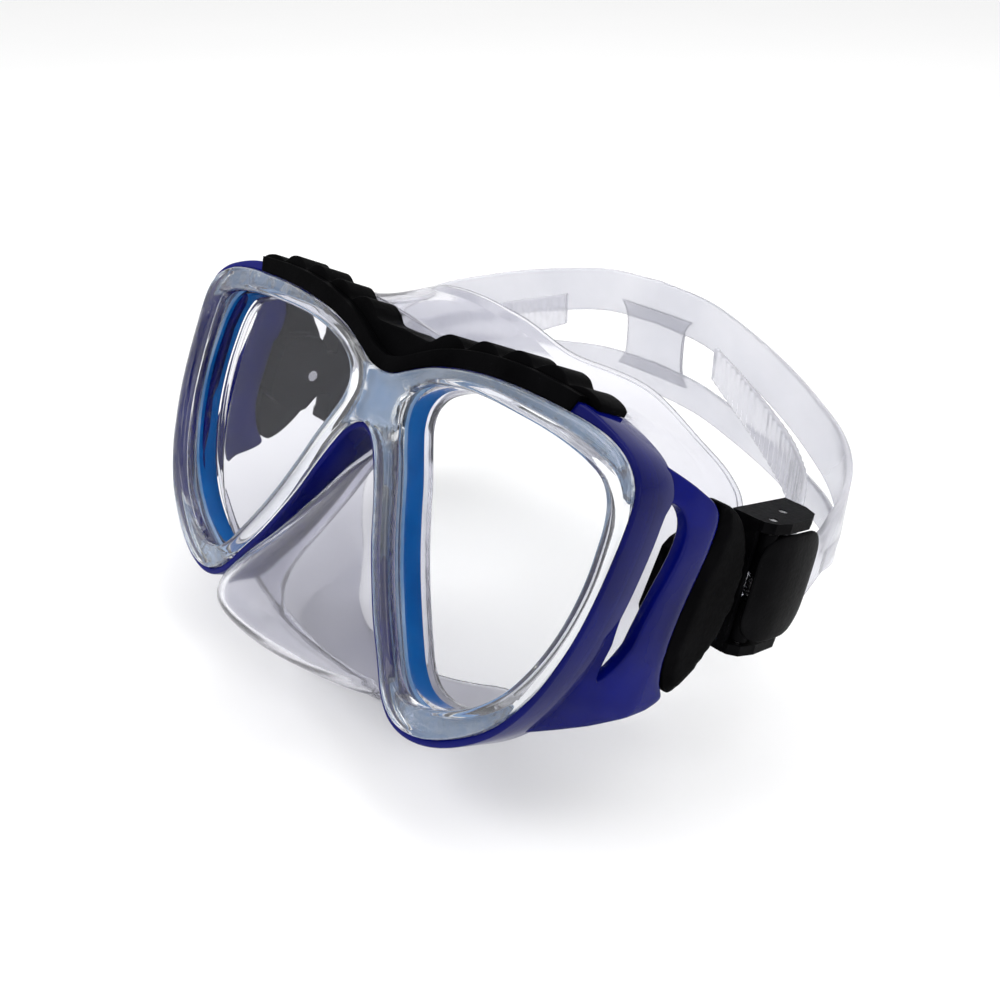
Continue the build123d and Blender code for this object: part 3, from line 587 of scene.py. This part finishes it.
# the plate reaches past the skirt's wall at the sides, to hold the eye collars
far_eye = offset(open_r, 1.3)
far_eye = far_eye[(far_eye[:, 0] > np.where(far_eye[:, 1] > 0, 52, 43)) & (np.abs(far_eye[:, 1]) > 0)]
far_eye = far_eye[(far_eye[:, 1] > -40) & (np.hypot(far_eye[:, 0], far_eye[:, 1]) > 52)]
fa = np.arctan2(far_eye[:, 1], far_eye[:, 0])
far_eye, fa = far_eye[np.argsort(fa)], np.sort(fa)
side0 = sec0[sec0[:, 0] > -1e-6]
sa = np.arctan2(side0[:, 1], side0[:, 0])
side0, sa = side0[np.argsort(sa)], np.sort(sa)
ta = np.linspace(-math.pi / 2, math.pi / 2, 181)
rr = np.maximum(np.interp(ta, sa, np.hypot(side0[:, 0], side0[:, 1])),
                np.interp(ta, fa, np.hypot(far_eye[:, 0], far_eye[:, 1]), left=0, right=0))
right_edge = np.column_stack([rr * np.cos(ta), rr * np.sin(ta)])
right_edge[0, 0] = right_edge[-1, 0] = 0
plate_edge = np.vstack([right_edge, flip_x(right_edge[1:-1])[::-1]])
v, f = plate(plate_edge, eye + [hole], 8.5, 10.0, 0.2, on_front, 3.0, 2)
make("skirt plate", v, f, SILICONE, "mask", angle=60)
for s in (1, -1):
    o_, c_ = (open_r, collar_r) if s > 0 else (mir(open_r), mir(collar_r))
    v, f = plate(c_, [o_], 2.85, 8.9, 0.2, on_front, 8.0, 1)
    make("eye collar %s" % ("right" if s > 0 else "left"), v, f, COLLAR, "mask", angle=60)


# ------------------------------------------------------------------ strap
def fb(lx, ly, lz=0.0):
    return (74.0 + lx, PY + ly * math.cos(TILT) - lz * math.sin(TILT), PZ + ly * math.sin(TILT) + lz * math.cos(TILT))


RX, RY, LOOP = 2.05, 19.7, 2.0 + 0.35 + 0.8
LIFT = 1.5
tail = [(27, 95.6, 11.0, 4.6), (38, 92.8, 6.4, 5.6), (50, 89.0, 1.6, 6.4), (60, 84.4, -2.4, 7.0),
        (67.0, 78.6, -5.6, 7.6), (71.4, 71.0, -8.4, 8.0), fb(RX - LOOP - 0.3, 32.0, LIFT) + (8.2,),
        fb(RX - LOOP, 27.5, LIFT) + (8.3,)]
turn = []
for k in range(13):
    a = math.radians(180 + 15 * k)
    turn.append(fb(RX + LOOP * math.cos(a), RY + LOOP * math.sin(a), LIFT) + (8.3,))
main = [fb(RX + LOOP, 26.5, LIFT) + (8.3,), fb(RX + LOOP + 0.1, 31.5, LIFT) + (8.3,), (79.9, 70.0, -8.4, 8.2),
        (79.2, 76.0, -4.8, 8.3), (76.0, 82.4, -1.0, 8.1), (69.6, 88.0, 2.4, 7.8), (60.0, 92.6, 6.0, 7.3),
        (48.0, 96.8, 10.0, 6.9), (34.0, 100.4, 13.8, 6.5), (18.0, 103.2, 17.2, 6.2), (0.0, 104.2, 18.2, 6.1)]
lower = [(79.8, 70.5, -12.6, 3.2), (78.9, 76.2, -12.8, 3.6), (75.4, 82.0, -12.8, 4.0), (69.2, 87.4, -12.0, 4.4),
         (60.0, 91.6, -10.6, 4.6), (48.0, 95.8, -8.6, 4.6), (34.0, 99.6, -6.6, 4.6), (18.0, 102.4, -4.4, 4.6),
         (0.0, 103.6, -3.6, 4.6)]


def ribbon(stations, t, n, ribs=None):
    """Strip with rounded long edges, closed in section, along the stations of the right half; the callers add its
    mirror.
    """
    st = catmull(stations, n)
    x, y, z, h = st.T
    d = np.gradient(st[:, :2], axis=0)
    d /= np.linalg.norm(d, axis=1)[:, None]
    nx, ny = -d[:, 1], d[:, 0]
    w = np.where(x > 60, np.clip((y - PY - 31.0) / 16.0, 0, 1), 1.0)
    ang = TILT * (1 - w)
    uy, uz = -np.sin(ang), np.cos(ang)
    r = t / 2
    prof = []
    for k in range(5):
        a = math.pi / 2 * k / 4
        prof.append((r * math.cos(a) * 1.0, 1, r * math.sin(a) - r))
    prof = [(r * math.cos(a), 1, r * math.sin(a) - r) for a in np.linspace(0, math.pi, 7)]
    prof += [(-r * math.cos(a), -1, -(r * math.sin(a) - r)) for a in np.linspace(0, math.pi, 7)]
    out = []
    s = np.concatenate([[0], np.cumsum(np.linalg.norm(np.diff(st[:, :3], axis=0), axis=1))])
    for (o, sg, e) in prof:
        hh = sg * (h + sg * e)
        oo = np.full(n, o)
        if ribs is not None:
            oo = oo * (1 - ribs(s, s[-1]))
        out.append(np.column_stack([x + nx * oo, y + ny * oo + uy * hh, z + uz * hh]))
    return np.stack(out, 1)


def capped(g):
    v, f = grid(g, False, True)
    c = g.shape[1]
    f.append(tuple(range(c))[::-1])
    f.append(tuple(range((g.shape[0] - 1) * c, g.shape[0] * c)))
    return v, f


def teeth(s, total):
    return 0.22 * (np.sin(s * 2 * math.pi / 2.2) > 0) * (s < 62)


up = ribbon(tail + turn + main, 1.6, 520, teeth)
g = np.concatenate([up, flip_x(up[::-1][1:])], 0)
v, f = capped(g)
strap = make("strap upper band", rest(v), f, STRAP_SIL, "strap", ["strap"], angle=45)
lo_ = ribbon(lower, 1.5, 160)
g = np.concatenate([lo_, flip_x(lo_[::-1][1:])], 0)
v, f = capped(g)
make("strap lower band", rest(v), f, STRAP_SIL, "strap", angle=45)
br = []
for k in range(41):
    z = -3 + 19 * k / 40
    br.append((9.9 + 2.8 * (abs(z - 6.5) / 9.5) ** 4, z))
br += [(a, 16.0) for a in np.linspace(12.7, -12.7, 24)[1:-1]]
br += [(-a, z) for a, z in br[:41][::-1]]
br += [(a, -3.0) for a in np.linspace(-12.7, 12.7, 24)[1:-1]]
br = np.array(br)
v, f = plate(br, [], 102.9, 104.3, 0.18, lambda p, t: rest(np.column_stack([p[:, 0], t, p[:, 1]])), 3.0, 2)
make("strap bridge", v, f, STRAP_SIL, "strap", angle=45)

# release levers: bowed lids with rounded corners
def rounded_rect(a0, a1, b0, b1, r, n=10):
    out = []
    for cx, cy, t0 in ((a1 - r, b1 - r, 0), (a0 + r, b1 - r, 90), (a0 + r, b0 + r, 180), (a1 - r, b0 + r, 270)):
        for i in range(n):
            t = math.radians(t0 + 90 * i / (n - 1))
            out.append((cx + r * math.cos(t), cy + r * math.sin(t)))
    dense = []
    for i in range(len(out)):
        a, b = np.array(out[i]), np.array(out[(i + 1) % len(out)])
        k = max(1, int(np.linalg.norm(b - a) / 1.2))
        dense += [a + (b - a) * j / k for j in range(k)]
    return np.array(dense)


LID_Y = [9.2, 11.2, 14.2, 18.0, 23.0, 27.0, 30.2]
LID_OUT = [6.1, 6.9, 7.9, 8.6, 8.6, 8.2, 7.6]
LID_IN = [5.2, 5.4, 6.3, 6.95, 6.95, 6.8, 6.5]


def on_lid(sign):
    def f(p, t):
        ly, lz = p[:, 0], p[:, 1]
        x = sign * (74.0 + t)
        y = PY + ly * math.cos(TILT) - lz * math.sin(TILT)
        z = PZ + ly * math.sin(TILT) + lz * math.cos(TILT)
        return rest(np.column_stack([x, y, z]))
    return f


lid = rounded_rect(9.3, 30.1, -12.7, 12.7, 6.5)
for s, side in ((1, "right"), (-1, "left")):
    v, f = plate(lid, [], lambda p: np.interp(p[:, 0], LID_Y, LID_IN),
                 lambda p: np.interp(p[:, 0], LID_Y, LID_OUT) - 0.5 * np.clip(p[:, 1] / 12.7, -1, 1) ** 2, 0.45,
                 on_lid(s), 1.6, 3)
    make("lever lid " + side, v, f, NYLON, "lever_" + side, ["release_lever_" + side], angle=50)
    hub_v, hub_f = [], []
    for (z0, z1) in ((-12.6, -3.3), (3.3, 12.6)):
        b0 = len(hub_v)
        for zz in (z0, z1):
            for i in range(28):
                a = 2 * math.pi * i / 28
                p = fb(4.4 + 2.0 * math.cos(a), 12.4 + 2.0 * math.sin(a), zz)
                hub_v.append(p)
        for i in range(28):
            j = (i + 1) % 28
            hub_f.append((b0 + i, b0 + j, b0 + 28 + j, b0 + 28 + i))
        hub_f.append(tuple(range(b0, b0 + 28))[::-1])
        hub_f.append(tuple(range(b0 + 28, b0 + 56)))
    hv = rest(np.array(hub_v))
    if s < 0:
        hv = flip_x(hv)
    make("lever hub " + side, hv, hub_f, NYLON, "lever_" + side, angle=40)

# ------------------------------------------------------------------ CAD pieces that stay
for s in ("right", "left"):
    for n, m in (("buckle_base_", NYLON), ("buckle_body_", NYLON), ("strap_roller_", NYLON),
                 ("swivel_pin_", STEEL), ("roller_pin_", STEEL), ("lever_pin_", STEEL), ("lever_spring_", STEEL)):
        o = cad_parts[n + s]
        if not o.material_slots:
            o.data.materials.append(m)
        for ms in o.material_slots:
            ms.material = m
        if n in ("buckle_base_", "buckle_body_"):
            bv = o.modifiers.new("edges", "BEVEL")
            bv.width = 0.0008
            bv.segments = 3
            bv.limit_method = "ANGLE"
            bv.angle_limit = math.radians(35)

# ------------------------------------------------------------------ floor, lights, camera
me = bpy.data.meshes.new("floor")
me.from_pydata([(-3, -3, 0), (3, -3, 0), (3, 3, 0), (-3, 3, 0)], [], [(0, 1, 2, 3)])
floor = bpy.data.objects.new("floor", me)
bpy.context.scene.collection.objects.link(floor)
me.materials.append(material("pale floor", (0.94, 0.94, 0.94), 0.7, (0.95, 0.95, 0.95), 4, 0.01, 40, 0.05))


def area(name, loc, size, power, target=(0, 0, 0.04)):
    ld = bpy.data.lights.new(name, "AREA")
    ld.shape = "RECTANGLE"
    ld.size, ld.size_y = size
    ld.energy = power
    o = bpy.data.objects.new(name, ld)
    bpy.context.scene.collection.objects.link(o)
    o.location = loc
    o.rotation_mode = "QUATERNION"
    o.rotation_quaternion = (Vector(target) - Vector(loc)).to_track_quat("-Z", "Y")
    return o


area("key", (-0.35, -0.55, 0.75), (0.5, 0.5), 2.6)
area("fill", (0.75, -0.25, 0.45), (0.6, 0.5), 1.6)
area("top", (0.1, 0.35, 0.9), (0.8, 0.5), 2.2)
world = bpy.data.worlds.new("studio")
world.use_nodes = True
world.node_tree.nodes["Background"].inputs[0].default_value = (1, 1, 1, 1)
world.node_tree.nodes["Background"].inputs[1].default_value = 0.93
bpy.context.scene.world = world
bpy.context.scene.view_settings.view_transform = "Standard"

cam_d = bpy.data.cameras.new("camera")
cam_d.sensor_width = 36.0
cam_d.lens = 39.6
cam = bpy.data.objects.new("camera", cam_d)
bpy.context.scene.collection.objects.link(cam)
Cp = row(np.array([[184.32, -165.56, 56.12]]))[0]


def turned(v):
    return (v[0], v[1] * CL - v[2] * SL, v[1] * SL + v[2] * CL)


r_, u_, b_ = turned((.6713, .6599, .3375)), turned((-.3770, -.0880, .9220)), turned((.6382, -.7461, .1897))
M = Matrix(((r_[0], u_[0], b_[0]), (r_[1], u_[1], b_[1]), (r_[2], u_[2], b_[2]))).to_4x4()
cam.rotation_mode = "QUATERNION"
cam.rotation_quaternion = M.to_quaternion()
cam.location = Vector(Cp)
cam_d.clip_start, cam_d.clip_end = 0.01, 20
bpy.context.scene.camera = cam
